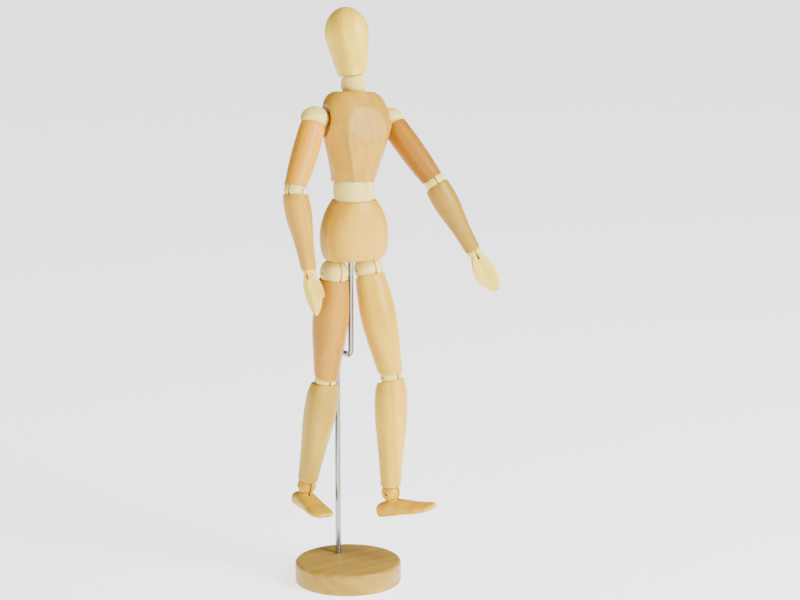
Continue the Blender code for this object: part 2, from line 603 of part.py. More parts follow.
def build_leg(side_name, pelvis_frame):
    side, rest = SIDES[side_name], REST_LEG[side_name]
    socket = (side * HIP[0], HIP[1], HIP[2])

    spread = empty(f"joint_{side_name}_hip_spread", pelvis_frame, socket, (0, -side, 0),
                   rest["spread"])
    ball = lathe(f"{side_name}_hip_ball", ball_outline(HIP_BALL), spread, around=18)
    cut_kerf(ball, HIP_BALL, -34.0, 72.0, spread)
    bore = lathe(f"{side_name}_hip_bore", [(0.8, 1.2), (3.4, HIP_BALL + 1.0)], spread, 12,
                 cutter=True)
    boolean(ball, bore)
    pin(f"{side_name}_hip_pin", spread, HIP_BALL)

    swing = empty(f"joint_{side_name}_hip_swing", spread, axis=(-1, 0, 0), degrees=rest["swing"])
    hook_wire(f"{side_name}_thigh_hook", swing, HIP_BALL)

    twist = empty(f"joint_{side_name}_thigh_twist", swing, degrees=rest["twist"])
    outline = limb_outline(THIGH_OUTER, THIGH, HIP_BALL + CUP_GAP, KNEE_BALL + CUP_GAP)
    thigh = lathe(f"{side_name}_thigh", outline, twist, closed=True)
    slant_cut(thigh, twist, -THIGH, 1.0, HALF_BEND, KNEE_BALL, below=True)
    spring_wire(f"{side_name}_thigh_spring", twist, THIGH, EYE_OFFSET)

    upper = empty(f"joint_{side_name}_knee_upper", twist, (0, 0, -THIGH), (1, 0, 0),
                  rest["bend"] / 2)
    ball = lathe(f"{side_name}_knee_ball", ball_outline(KNEE_BALL), upper, around=16)
    cut_kerf(ball, KNEE_BALL, -9.0, 189.0, upper, turn=math.pi)
    pin(f"{side_name}_knee_pin", upper, KNEE_BALL)

    lower = empty(f"joint_{side_name}_knee_lower", upper, axis=(1, 0, 0), degrees=rest["bend"] / 2)
    hook_wire(f"{side_name}_calf_hook", lower, KNEE_BALL, -EYE_OFFSET)
    outline = limb_outline(CALF_OUTER, CALF, KNEE_BALL + CUP_GAP, ANKLE_BALL + CUP_GAP)
    calf = lathe(f"{side_name}_calf", outline, lower, closed=True)
    slant_cut(calf, lower, 0.0, 1.0, HALF_BEND, KNEE_BALL, below=False)

    turn = empty(f"joint_{side_name}_ankle_twist", lower, degrees=side * rest["turn"])
    spring_wire(f"{side_name}_calf_spring", turn, CALF)
    ankle = empty(f"joint_{side_name}_ankle_bend", turn, (0, 0, -CALF), (-1, 0, 0), rest["ankle"])
    build_foot(side_name, ankle)


def build_foot(side_name, ankle):
    """A foot with its ankle ball in one piece."""
    rings = []
    for y, w, sole, instep in FOOT_LEVELS:
        middle, half = (sole + instep) / 2, (instep - sole) / 2
        ring = oval_ring(0.0, w, half, power=2.6, around=16)
        rings.append([(x, y, middle + up) for x, up, _ in ring])
    foot = loft(f"{side_name}_foot", rings, ankle)
    neck = ball_outline(ANKLE_BALL)[3:]
    stem = lathe(f"{side_name}_foot_stem", [(4.6, -8.0), (4.3, -4.6)] + neck, ankle, 16, cutter=True)
    boolean(foot, stem, "UNION")
    cut_kerf(foot, ANKLE_BALL, 138.0, 222.0, ankle)
    pin(f"{side_name}_ankle_pin", ankle, ANKLE_BALL)


# ---------------------------------------------------------------- assembly

def build_mannequin():
    world = empty("mannequin", None)
    build_base(world)
    stand = empty("joint_stand_turn", world, ROD_FOOT)
    wire("stand_rod", rod_points(), stand, radius=ROD_RADIUS, resolution=4)

    rod_top = (0.0, ROD_TOP_Y - ROD_FOOT[1], 0.0)
    figure = empty("joint_figure_turn", stand, rod_top)
    waist_at = (0.0, WAIST[1] - ROD_TOP_Y, WAIST[2] - ROD_FOOT[2])
    pelvis_frame = empty("pelvis_frame", figure, waist_at)
    build_pelvis(pelvis_frame)
    build_hip_spring(pelvis_frame)

    turn = empty("joint_waist_turn", pelvis_frame, degrees=REST_WAIST["turn"])
    centre_spring("waist_spring", turn, -20.6, 7.2, 1.4, 9)
    bend = empty("joint_waist_bend", turn, axis=(1, 0, 0), degrees=REST_WAIST["bend"])
    build_barrel(bend)
    tilt = empty("joint_waist_tilt", bend, axis=(0, 1, 0), degrees=REST_WAIST["tilt"])
    build_chest(tilt)
    build_shoulder_spring(tilt)

    neck_turn = empty("joint_neck_turn", tilt, NECK, degrees=REST_NECK["turn"])
    centre_spring("neck_spring", neck_turn, -12.0, 4.6, 0.9, 6)
    nod = empty("joint_neck_nod", neck_turn, axis=(1, 0, 0), degrees=REST_NECK["nod"])
    build_neck_ball(nod)
    head_tilt = empty("joint_neck_tilt", nod, axis=(0, 1, 0), degrees=REST_NECK["tilt"])
    build_head(head_tilt)

    for side_name in SIDES:
        build_arm(side_name, tilt)
        build_leg(side_name, pelvis_frame)


build_mannequin()
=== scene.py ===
"""Looks of the jointed wooden mannequin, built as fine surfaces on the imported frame.

Lengths are millimetres in each piece's own joint frame: a limb hangs down its own -Z from the
centre of its joint ball, the figure faces -Y, and its left side is +X.
"""
import json
import math

import bpy
from mathutils import Matrix, Vector


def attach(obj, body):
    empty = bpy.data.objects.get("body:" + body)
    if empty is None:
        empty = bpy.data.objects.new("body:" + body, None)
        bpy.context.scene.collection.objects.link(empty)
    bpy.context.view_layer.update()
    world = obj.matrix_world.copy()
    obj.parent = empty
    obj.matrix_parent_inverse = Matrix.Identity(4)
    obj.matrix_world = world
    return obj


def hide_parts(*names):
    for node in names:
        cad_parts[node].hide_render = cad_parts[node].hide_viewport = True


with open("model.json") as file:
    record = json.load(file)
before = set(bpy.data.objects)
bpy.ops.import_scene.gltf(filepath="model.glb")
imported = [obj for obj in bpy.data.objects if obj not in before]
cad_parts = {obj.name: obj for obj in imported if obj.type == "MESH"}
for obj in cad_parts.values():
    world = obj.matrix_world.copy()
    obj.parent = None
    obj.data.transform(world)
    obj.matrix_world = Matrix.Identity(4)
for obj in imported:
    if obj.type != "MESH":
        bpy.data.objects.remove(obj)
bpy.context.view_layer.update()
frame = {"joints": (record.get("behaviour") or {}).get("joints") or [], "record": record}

MM = 0.001
SIDES = {"left": 1, "right": -1}
JOINTS = {joint["name"]: joint for joint in frame["joints"]}

# Lengths between joint centres
UPPER_ARM, FOREARM, THIGH, CALF = 44.0, 45.0, 61.5, 68.4

# Radii of the balls; the shoulder's is an oval, given as its half length and radius
SHOULDER_BALL = (8.3, 6.75)
ELBOW_BALL, WRIST_BALL = 5.55, 4.0
HIP_BALL, KNEE_BALL, ANKLE_BALL = 8.0, 6.1, 5.3
NECK_BALL_RADIUS, NECK_CUP_RADIUS = 7.0, 7.35
BARREL_RADIUS, BARREL_HALF, WAIST_CUP_RADIUS = 11.3, 7.8, 12.35
CUP_GAP = 0.3

# The kerf in a ball, the web left in it, and the pin across it; a kerf is open between two
# angles, in degrees
KERF_HALF, GROOVE_DEPTH, WEB_START, WEB_MARGIN = 0.6, 1.2, 2.1, 9.0
WEB_OVERLAP = 0.25
PIN_RADIUS, PIN_HOLE_RADIUS, PIN_RECESS, PIN_STOP = 0.6, 0.95, 1.0, 6.1
HINGE_KERF, HIP_KERF, SHOULDER_KERF = (-9.0, 189.0), (-34.0, 72.0), (8.0, 106.0)
WRIST_KERF, ANKLE_KERF = (130.0, 230.0), (138.0, 222.0)
OVERSHOOT = 2.0  # how far a cutter runs past the piece

# The wires, and the bores they run in
WIRE_RADIUS, EYE_RADIUS, EYE_OFFSET = 0.25, 1.15, 0.33
EYE_CLEARANCE = EYE_RADIUS + WIRE_RADIUS + 0.4
BORE_RADIUS, COIL_RADIUS, COIL_TURNS, HOOK_REACH = 2.1, 1.5, 12, 11.5
COIL_STEPS = 20  # points in one turn of a coil
LIMB_COIL_GAP, LIMB_COIL_LENGTH = 0.2, 11.8
SHANK_CURVE, SHANK_DROP = 0.75, 1.5
RIVET_RISE, RIVET_DROP, RIVET_SWELL = 0.2, 0.4, 3.4
HIP_SPRING_RISE, HIP_BORE_SLACK = 21.1, 1.6
SHOULDER_BORE_RADIUS, SHOULDER_BORE_START = 0.9, 1.3
HIP_FUNNEL = [(0.8, 1.2), (3.4, HIP_BALL + 1.0)]
WAIST_BORE_FLOOR, NECK_BORE_FLOOR = -21.5, -12.5

# Where the joints sit on the trunk: hip from the waist's centre, the others up the chest
HIP = Vector((11.2, 3.0, -45.1))
SHOULDER = Vector((24.0, 1.5, 39.2))
NECK = Vector((0.0, 0.6, 58.4))

# Each half of an elbow or knee bends by up to HALF_BEND degrees, on a slanted end of its limb
HALF_BEND, SLANT_SLACK, SLANT_MARGIN, SLANT_OUTER = 32.0, 3.0, 1.1, 0.05
LIP = 0.3

HEAD_TILT, FOOT_PITCH = -7.0, 16.0
BASE_RADIUS, BASE_HEIGHT, BASE_EDGE = 30.0, 12.0, 1.7
ROD_RADIUS, ROD_HOLE_RADIUS, ROD_HOLE_FLOOR = 1.6, 1.95, 2.1
ROD_HOLE_LOW, ROD_TOP_GAP = -45.0, 0.4  # the hole in the pelvis
CRANK_HEIGHT, ROD_BEND, ROD_TOP_Z = 131.0, 3.4, 197.2

# Edges sharper than this, in degrees, stay sharp
SHARP, SHARP_LIMB, SHARP_CARVED = 32.0, 38.0, 40.0


# ---------------------------------------------------------------- frames from the joints

def joint_at(name):
    return Vector(JOINTS[name]["pos_m"])


def joint_axis(name, sense=1.0):
    return Vector(JOINTS[name]["axis"]) * sense


def axes_frame(at, x=None, y=None, z=None):
    """The frame at a point that has the two given axes."""
    if x is None:
        x = y.cross(z)
    if y is None:
        y = z.cross(x)
    if z is None:
        z = x.cross(y)
    matrix = Matrix((x.normalized(), y.normalized(), z.normalized())).transposed().to_4x4()
    matrix.translation = at
    return matrix


def shifted(matrix, x, y, z):
    return matrix @ Matrix.Translation(Vector((x, y, z)) * MM)


# ---------------------------------------------------------------- materials

def new_material(name):
    material = bpy.data.materials.new(name)
    material.use_nodes = True
    tree = material.node_tree
    return material, tree, tree.nodes["Principled BSDF"]


def node(tree, kind, values=(), **settings):
    """Add a shader node, set its properties, and fill or link its inputs."""
    made = tree.nodes.new(kind)
    for key, value in settings.items():
        setattr(made, key, value)
    for key, value in dict(values).items():
        if isinstance(value, bpy.types.NodeSocket):
            tree.links.new(value, made.inputs[key])
        else:
            made.inputs[key].default_value = value
    return made


def ramp(tree, fac, stops):
    made = node(tree, "ShaderNodeValToRGB", {"Fac": fac})
    bar = made.color_ramp
    while len(bar.elements) < len(stops):
        bar.elements.new(0.5)
    for element, (at, colour) in zip(bar.elements, stops):
        element.position = at
        element.color = (*colour, 1.0) if len(colour) == 3 else colour
    return made


def grey(value):
    return (value, value, value)


def mix(tree, factor, a, b, blend="MIX"):
    """Colour mix; a and b are colours or sockets."""
    made = node(tree, "ShaderNodeMix", data_type="RGBA", blend_type=blend)
    for key, value in ((0, factor), (6, a), (7, b)):
        if isinstance(value, bpy.types.NodeSocket):
            tree.links.new(value, made.inputs[key])
        else:
            made.inputs[key].default_value = value if key == 0 else (*value, 1.0)
    return made.outputs[2]


# Scales of the patterns in the wood, and the tints of its deep and pale parts
FIBRE_SCALE, STREAK_SCALE, PATCH_SCALE, BAND_SCALE = 1500.0, 260.0, 45.0, 42.0
GRAIN_STRETCH = 0.04
UPRIGHT_TURN, LYING_TURN = 0.03, 1.5
DEEP_TINT, PALE_TINT, PORE_TINT = (0.80, 0.70, 0.55), (1.08, 1.10, 1.16), 0.62
KNOT_COLOUR, KNOT_CORE, KNOT_REACH = (0.62, 0.20, 0.06), 0.0007, 0.0024
RINGS_CORE, RINGS_REACH = 0.008, 0.019
LACQUER_ROUGHNESS, RAW_ROUGHNESS = (0.36, 0.48), (0.52, 0.68)


def wood(name, colour, seed, matrix, lacquer=True, lying=False, rings=None, contrast=1.0):
    """Turned or carved wood: long fibres, growth bands, pores, and a clear finish or none.

    matrix is the piece's own frame. The fibres run along its Z, or across it in a lying piece.
    rings gives the centre, in millimetres, the tilts, in degrees, and the spacing of growth
    rings that show about one spot, and the place of a small knot.
    """
    material, tree, shader = new_material(name)
    place = node(tree, "ShaderNodeMapping", {
                 "Vector": node(tree, "ShaderNodeTexCoord").outputs["Object"],
                 "Location": matrix.translation, "Rotation": matrix.to_euler()},
                 vector_type="TEXTURE").outputs["Vector"]
    moved = node(tree, "ShaderNodeMapping", {"Vector": place,
                 "Location": (0.013 * seed, 0.029 * seed, 0.017 * seed),
                 "Rotation": (0.05, LYING_TURN if lying else UPRIGHT_TURN,
                              0.9 * seed)}).outputs["Vector"]
    stretched = node(tree, "ShaderNodeMapping", {"Vector": moved,
                     "Scale": (1.0, 1.0, GRAIN_STRETCH)}).outputs["Vector"]
    fibre = node(tree, "ShaderNodeTexNoise", {"Vector": stretched, "Scale": FIBRE_SCALE,
                 "Detail": 4.0, "Roughness": 0.6}).outputs["Fac"]
    streak = node(tree, "ShaderNodeTexNoise", {"Vector": stretched, "Scale": STREAK_SCALE,
                  "Detail": 3.0, "Roughness": 0.55}).outputs["Fac"]
    patch = node(tree, "ShaderNodeTexNoise", {"Vector": moved, "Scale": PATCH_SCALE,
                 "Detail": 2.0}).outputs["Fac"]
    band = node(tree, "ShaderNodeTexWave", {"Vector": stretched, "Scale": BAND_SCALE,
                "Distortion": 7.0, "Detail": 3.0, "Detail Scale": 0.8,
                "Detail Roughness": 0.5}, wave_type="BANDS",
                bands_direction="X").outputs["Fac"]
    if rings:
        centre, tilts, spacing, knot = rings
        seen = node(tree, "ShaderNodeMapping", {"Vector": place,
                    "Location": tuple(c * MM for c in centre),
                    "Rotation": tuple(math.radians(t) for t in tilts),
                    "Scale": (1.0, 1.5, 1.0)},
                    vector_type="TEXTURE").outputs["Vector"]
        round_band = node(tree, "ShaderNodeTexWave", {"Vector": seen,
                          "Scale": 0.31 / (spacing * MM), "Distortion": 2.6, "Detail": 2.0,
                          "Detail Scale": 0.35, "Detail Roughness": 0.55}, wave_type="RINGS",
                          rings_direction="Z").outputs["Fac"]
        away = node(tree, "ShaderNodeVectorMath", {0: seen}, operation="LENGTH").outputs["Value"]
        fade = node(tree, "ShaderNodeMapRange", {"Value": away, "From Min": RINGS_CORE,
                    "From Max": RINGS_REACH}).outputs["Result"]
        faint = node(tree, "ShaderNodeMapRange", {"Value": round_band, "To Min": 0.25,
                     "To Max": 0.7}).outputs["Result"]
        band = mix(tree, fade, faint, band)
    deep = tuple(c * k for c, k in zip(colour, DEEP_TINT))
    pale = tuple(min(1.0, c * k) for c, k in zip(colour, PALE_TINT))
    tone = ramp(tree, band, [(0.15, grey(0.0)), (0.95, grey(1.0))]).outputs["Color"]
    base = mix(tree, tone, mix(tree, 0.45 * contrast, pale, colour),
               mix(tree, 0.42 * contrast, colour, deep))
    streaks = ramp(tree, streak, [(0.36, grey(0.0)), (0.72, grey(1.0))]).outputs["Color"]
    weak = node(tree, "ShaderNodeMath", {0: streaks, 1: 0.5 * contrast},
                operation="MULTIPLY").outputs["Value"]
    base = mix(tree, weak, base, deep)
    pore = ramp(tree, fibre, [(0.30, grey(1.0)), (0.42, grey(0.0))]).outputs["Color"]
    weak = node(tree, "ShaderNodeMath", {0: pore, 1: 0.35 * contrast},
                operation="MULTIPLY").outputs["Value"]
    base = mix(tree, weak, base, tuple(c * PORE_TINT for c in deep))
    light = ramp(tree, patch, [(0.3, grey(0.93)), (0.7, grey(1.06))]).outputs["Color"]
    base = mix(tree, 1.0, base, light, "MULTIPLY")
    if rings:
        near = node(tree, "ShaderNodeVectorMath", {0: place, 1: tuple(c * MM for c in knot)},
                    operation="DISTANCE").outputs["Value"]
        spot = node(tree, "ShaderNodeMapRange", {"Value": near, "From Min": KNOT_CORE,
                    "From Max": KNOT_REACH, "To Min": 0.55, "To Max": 0.0}).outputs["Result"]
        base = mix(tree, spot, base, KNOT_COLOUR)
    tree.links.new(base, shader.inputs["Base Color"])
    rough = LACQUER_ROUGHNESS if lacquer else RAW_ROUGHNESS
    spread = node(tree, "ShaderNodeMapRange", {"Value": streak, "To Min": rough[0],
                  "To Max": rough[1]}).outputs["Result"]
    tree.links.new(spread, shader.inputs["Roughness"])
    bump = node(tree, "ShaderNodeBump", {"Height": fibre, "Strength": 0.06 if lacquer else 0.16,
                "Distance": 0.0002}).outputs["Normal"]
    tree.links.new(bump, shader.inputs["Normal"])
    shader.inputs["Specular IOR Level"].default_value = 0.22 if lacquer else 0.12
    shader.inputs["Coat Weight"].default_value = 0.14 if lacquer else 0.0
    shader.inputs["Coat Roughness"].default_value = 0.22
    return material


def steel(name, colour, roughness):
    """Drawn and plated wire with faint draw lines and a slightly uneven polish."""
    material, tree, shader = new_material(name)
    place = node(tree, "ShaderNodeTexCoord").outputs["Object"]
    long = node(tree, "ShaderNodeMapping", {"Vector": place,
                "Scale": (1.0, 1.0, 0.03)}).outputs["Vector"]
    lines = node(tree, "ShaderNodeTexNoise", {"Vector": long, "Scale": 1800.0,
                 "Detail": 3.0}).outputs["Fac"]
    smear = node(tree, "ShaderNodeTexNoise", {"Vector": place, "Scale": 120.0,
                 "Detail": 3.0}).outputs["Fac"]
    tint = mix(tree, smear, tuple(c * 0.86 for c in colour), colour)
    tree.links.new(tint, shader.inputs["Base Color"])
    shader.inputs["Metallic"].default_value = 1.0
    spread = node(tree, "ShaderNodeMapRange", {"Value": smear, "To Min": roughness * 0.7,
                  "To Max": roughness * 1.4}).outputs["Result"]
    tree.links.new(spread, shader.inputs["Roughness"])
    bump = node(tree, "ShaderNodeBump", {"Height": lines, "Strength": 0.05,
                "Distance": 0.0001}).outputs["Normal"]
    tree.links.new(bump, shader.inputs["Normal"])
    return material


WOODS = {  # the lacquered pieces: colour and seed
    "base": ((0.44, 0.27, 0.03), 1), "pelvis": ((0.68, 0.39, 0.015), 2),
    "chest": ((0.56, 0.31, 0.012), 3), "head": ((0.90, 0.62, 0.04), 4),
    "left_upper_arm": ((0.38, 0.155, 0.002), 5), "right_upper_arm": ((0.78, 0.35, 0.004), 6),
    "left_forearm": ((0.38, 0.225, 0.015), 7), "right_forearm": ((0.56, 0.30, 0.01), 8),
    "left_thigh": ((0.78, 0.48, 0.02), 9), "right_thigh": ((0.52, 0.24, 0.005), 10),
    "left_calf": ((0.78, 0.49, 0.02), 11), "right_calf": ((0.52, 0.34, 0.02), 12),
    "left_foot": ((0.78, 0.42, 0.004), 13), "right_foot": ((0.64, 0.39, 0.01), 14)}
RAW, HAND = (0.82, 0.65, 0.17), (0.84, 0.62, 0.08)
LYING = ("base", "left_foot", "right_foot")
CHEST_RINGS = ((-2.0, -16.0, 31.0), (80.0, 8.0, 0.0), 2.9, (6.5, -14.7, 23.8))
LACQUER_CONTRAST, RAW_CONTRAST = 1.25, 0.5
WIRE = steel("wire_steel", (0.52, 0.50, 0.47), 0.35)
ROD = steel("rod_steel", (0.34, 0.36, 0.39), 0.2)


def wood_for(cad_node, matrix):
    """The wood of a piece: lacquered and coloured on its own, or raw and pale."""
    name = cad_node + "_wood"
    if cad_node in WOODS:
        colour, seed = WOODS[cad_node]
        rings = CHEST_RINGS if cad_node == "chest" else None
        return wood(name, colour, seed, matrix, True, cad_node in LYING, rings, LACQUER_CONTRAST)
    seed = 20 + sum(ord(letter) for letter in cad_node) % 37
    colour = HAND if cad_node.endswith("hand") else RAW
    return wood(name, colour, seed, matrix, lacquer=False, contrast=RAW_CONTRAST)


# ---------------------------------------------------------------- mesh helpers

def body_of(cad_node):
    for body, members in frame["record"]["behaviour"]["bodies"].items():
        if cad_node in members:
            return body
    return None


def finish_piece(piece, cad_node, material=None):
    """Give a finished piece its material and its body, and hide the CAD node that it stands for.

    The mesh is written in world axes, and the wood's grain still follows the piece's own frame.
    """
    material = material or wood_for(cad_node, piece.matrix_world.copy())
    piece.data.transform(piece.matrix_world)
    piece.matrix_world = Matrix.Identity(4)
    piece.data.materials.clear()
    piece.data.materials.append(material)
    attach(piece, body_of(cad_node))
    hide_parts(cad_node)


def new_mesh(name, verts, faces, matrix):
    mesh = bpy.data.meshes.new(name)
    mesh.from_pydata([Vector(v) * MM for v in verts], [], faces)
    mesh.validate()
    mesh.update()
    piece = bpy.data.objects.new(name, mesh)
    bpy.context.scene.collection.objects.link(piece)
    piece.matrix_world = matrix
    return piece


def ring_faces(count, around, closed=False):
    faces = []
    for i in range(count if closed else count - 1):
        low, high = i * around, (i + 1) % count * around
        for k in range(around):
            after = (k + 1) % around
            faces.append((low + k, low + after, high + after, high + k))
    if not closed:
        faces.append(tuple(range(around))[::-1])
        faces.append(tuple(range((count - 1) * around, count * around)))
    return faces


def turned(name, outline, matrix, around=64, closed=False, lift=None):
    """Lathe work: (radius, z) points about Z; lift may move a point's z by its y and z."""
    verts = []
    for radius, z in outline:
        for k in range(around):
            turn = math.tau * k / around
            x, y = radius * math.cos(turn), radius * math.sin(turn)
            verts.append((x, y, lift(y, z) if lift else z))
    return new_mesh(name, verts, ring_faces(len(outline), around, closed), matrix)


def lofted(name, rings, matrix):
    verts = [point for ring in rings for point in ring]
    return new_mesh(name, verts, ring_faces(len(rings), len(rings[0])), matrix)


def smooth_rows(rows, steps):
    """Rows of numbers on a smooth curve through the given rows."""
    made = []
    for i in range(len(rows) - 1):
        near = (rows[max(i - 1, 0)], rows[i], rows[i + 1], rows[min(i + 2, len(rows) - 1)])
        for k in range(steps):
            t = k / steps
            made.append(tuple(0.5 * (2 * q + (r - p) * t + (2 * p - 5 * q + 4 * r - s) * t * t
                              + (3 * q - p - 3 * r + s) * t ** 3) for p, q, r, s in zip(*near)))
    made.append(tuple(rows[-1]))
    return made


def oval(z, half_width, half_depth, centre_y=0.0, power=2.0, around=96, centre_x=0.0):
    """A level ring; a power above 2 squares it off."""
    ring = []
    for k in range(around):
        turn = math.tau * k / around
        c, s = math.cos(turn), math.sin(turn)
        ring.append((centre_x + math.copysign(abs(c) ** (2.0 / power), c) * half_width,
                     centre_y + math.copysign(abs(s) ** (2.0 / power), s) * half_depth, z))
    return ring


def arc(radius, centre_z, start, end, steps):
    """Points (distance from Z, z) on a circle, by angles in degrees from its top."""
    points = []
    for i in range(steps + 1):
        angle = math.radians(start + (end - start) * i / steps)
        points.append((radius * math.sin(angle), centre_z + radius * math.cos(angle)))
    return points


def ball_outline(radius, half_length=None, steps=36, pole=2.0):
    """The outline of a ball or oval, from just off one pole to just off the other."""
    half_length = half_length or radius
    return [(radius * math.sin(math.radians(a)), half_length * math.cos(math.radians(a)))
            for a in [180.0 - pole - (180.0 - 2.0 * pole) * i / steps for i in range(steps + 1)]]


def cut(piece, cutters, operation="DIFFERENCE"):
    """Apply Booleans one by one and remove the cutters."""
    for cutter in cutters:
        modifier = piece.modifiers.new("cut", "BOOLEAN")
        modifier.operation = operation
        modifier.solver = "EXACT"
        modifier.object = cutter
    bpy.context.view_layer.update()
    shape = piece.evaluated_get(bpy.context.evaluated_depsgraph_get())
    mesh = bpy.data.meshes.new_from_object(shape)
    piece.modifiers.clear()
    piece.data = mesh
    for cutter in cutters:
        bpy.data.objects.remove(cutter)


def planed(rings, planes):
    """Plane flats on a lofted block, by moving points beyond a (direction, reach) back to it."""
    made = []
    for ring in rings:
        points = [Vector(point) for point in ring]
        for direction, reach in planes:
            normal = Vector(direction).normalized()
            points = [p - normal * max(0.0, p.dot(normal) - reach) for p in points]
        made.append(points)
    return made


def smooth(piece, degrees=SHARP):
    piece.data.shade_smooth()
    piece.data.set_sharp_from_angle(angle=math.radians(degrees))
    return piece


def rod_cutter(radius, low, high, matrix, around=40):
    return turned("cutter", [(radius, low), (radius, high)], matrix, around)


def sphere_cutter(radius, matrix, half_length=None):
    return turned("cutter", ball_outline(radius, half_length), matrix, 72)


def turned_about(matrix, axis, degrees):
    return matrix @ Matrix.Rotation(math.radians(degrees), 4, axis)


# ---------------------------------------------------------------- wires, springs and pins

def wire(name, points, matrix, radius=WIRE_RADIUS, thick=None):
    """A round wire through the points; thick maps a point's number to a multiple of its radius."""
    curve = bpy.data.curves.new(name, "CURVE")
    curve.dimensions = "3D"
    curve.bevel_depth = radius * MM
    curve.bevel_resolution = 3
    curve.use_fill_caps = True
    spline = curve.splines.new("POLY")
    spline.points.add(len(points) - 1)
    for number, point in enumerate(points):
        spline.points[number].co = (*(Vector(point) * MM), 1.0)
        spline.points[number].radius = (thick or {}).get(number, 1.0)
    spline.use_smooth = True
    piece = bpy.data.objects.new(name, curve)
    bpy.context.scene.collection.objects.link(piece)
    piece.matrix_world = matrix
    return piece


def coil(start, end, turns, place):
    """Points of a coil: place(turn, along) sets each, with along going from start to end."""
    steps = turns * COIL_STEPS
    return [place(math.tau * i / COIL_STEPS, start + (end - start) * i / steps)
            for i in range(steps + 1)]


def eye_points(centre_z, side_offset=0.0, opening=60.0, upwards=False, steps=28):
    """An open wire eye in the plane across X."""
    points = []
    sense = 1.0 if upwards else -1.0
    for i in range(steps + 1):
        angle = math.radians(opening + (360.0 - opening) * i / steps)
        points.append((side_offset, EYE_RADIUS * math.sin(angle),
                       centre_z + sense * EYE_RADIUS * math.cos(angle)))
    return points


def hook(cad_node, matrix, ball_radius, side_offset=0.0, quarter_turn=False):
    """Eye on the ball's pin, shank down the limb's bore, and a riveted head."""
    head = -HOOK_REACH
    points = eye_points(0.0, side_offset)
    points += [(side_offset, 0.0, -SHANK_CURVE * ball_radius),
               (0.0, 0.0, -ball_radius - SHANK_DROP), (0.0, 0.0, head + RIVET_RISE + 0.1),
               (0.0, 0.0, head + RIVET_RISE), (0.0, 0.0, head - RIVET_DROP)]
    if quarter_turn:
        points = [(y, x, z) for x, y, z in points]
    last = len(points) - 1
    rivet = {last: RIVET_SWELL, last - 1: RIVET_SWELL}
    piece = wire("steel_" + cad_node, points, matrix, thick=rivet)
    finish_piece(piece, cad_node, WIRE)


def limb_spring(cad_node, matrix, length, side_offset=0.0):
    """A small ring under the hook's head, a coil down the bore, and an eye on the next pin."""
    ring_radius, ring_z, ring_rise = 0.88, 1.0 - HOOK_REACH, 0.55
    coil_top = -HOOK_REACH - LIMB_COIL_GAP
    coil_bottom = coil_top - LIMB_COIL_LENGTH
    points = coil(ring_z + ring_rise, ring_z, 1, lambda turn, z: (
        ring_radius * math.cos(turn), ring_radius * math.sin(turn), z))
    points += coil(coil_top, coil_bottom, COIL_TURNS, lambda turn, z: (
        COIL_RADIUS * math.cos(turn), COIL_RADIUS * math.sin(turn), z))[1:]
    points.append((side_offset, 0.0, coil_bottom - 1.5))
    points.append((side_offset, 0.0, 1.0 + EYE_RADIUS - length))
    points += eye_points(-length, side_offset, upwards=True)[::-1]
    finish_piece(wire("steel_" + cad_node, points, matrix), cad_node, WIRE)


def coil_between(cad_node, matrix, low, high, radius, turns):
    """A coil along Z with a straight tail at each end."""
    tail = 1.0
    points = [(0.0, 0.0, low), (0.0, 0.0, low + tail)]
    points += coil(low + 2.0 * tail, high - 2.0 * tail, turns, lambda turn, z: (
        radius * math.cos(turn), radius * math.sin(turn), z))
    points += [(0.0, 0.0, high - tail), (0.0, 0.0, high)]
    finish_piece(wire("steel_" + cad_node, points, matrix), cad_node, WIRE)


def pin(cad_node, matrix, ball_radius, axis="X"):
    half, edge = ball_radius - PIN_RECESS, 0.12
    outline = [(PIN_RADIUS - edge, -half), (PIN_RADIUS, edge - half), (PIN_RADIUS, half - edge),
               (PIN_RADIUS - edge, half)]
    turned_matrix = turned_about(matrix, "Y" if axis == "X" else "X", 90.0)
    piece = smooth(turned("steel_" + cad_node, outline, turned_matrix, around=24))
    finish_piece(piece, cad_node, WIRE)


# ---------------------------------------------------------------- joint balls

def kerf_cutters(radius, kerf, matrix, turn=0.0, hole_span=None):
    """The saw kerf's disc, the web left in it, and the pin's hole.

    kerf gives the angles, in degrees from straight down, between which the kerf is open.
    """
    reach = radius + OVERSHOOT
    spun = turned_about(matrix, "Z", math.degrees(turn))
    flat = turned_about(spun, "Y", 90.0)
    disc = rod_cutter(reach, -KERF_HALF, KERF_HALF, flat, 72)
    outer, steps = radius - GROOVE_DEPTH, 24
    start, end = kerf[1] + WEB_MARGIN, kerf[0] + 360.0 - WEB_MARGIN
    loop = []
    for rim in (outer, WEB_START):
        part = []
        for i in range(steps + 1):
            angle = math.radians(start + (end - start) * i / steps)
            part.append((-rim * math.sin(angle), -rim * math.cos(angle)))
        loop += part if rim == outer else part[::-1]
    half = KERF_HALF + WEB_OVERLAP
    verts = [(-half, y, z) for y, z in loop] + [(half, y, z) for y, z in loop]
    count = len(loop)
    faces = [(k, (k + 1) % count, count + (k + 1) % count, count + k) for k in range(count)]
    for k in range(steps):
        low, high = k, count - 1 - k
        faces.append((low, high, high - 1, low + 1))
        faces.append((count + low, count + low + 1, count + high - 1, count + high))
    web = new_mesh("web", verts, faces, spun)
    hole = rod_cutter(PIN_HOLE_RADIUS, *(hole_span or (-reach, reach)), flat, 28)
    return disc, web, hole


def cut_ball(piece, radius, kerf, matrix, turn=0.0, more=(), hole_span=None):
    disc, web, hole = kerf_cutters(radius, kerf, matrix, turn, hole_span)
    cut(piece, [disc])
    cut(piece, [web], "UNION")
    cut(piece, [hole, *more])


def ball(cad_node, radius, matrix, kerf, turn=0.0):
    piece = turned("wood_" + cad_node, ball_outline(radius), matrix)
    cut_ball(piece, radius, kerf, matrix, turn)
    finish_piece(smooth(piece), cad_node)


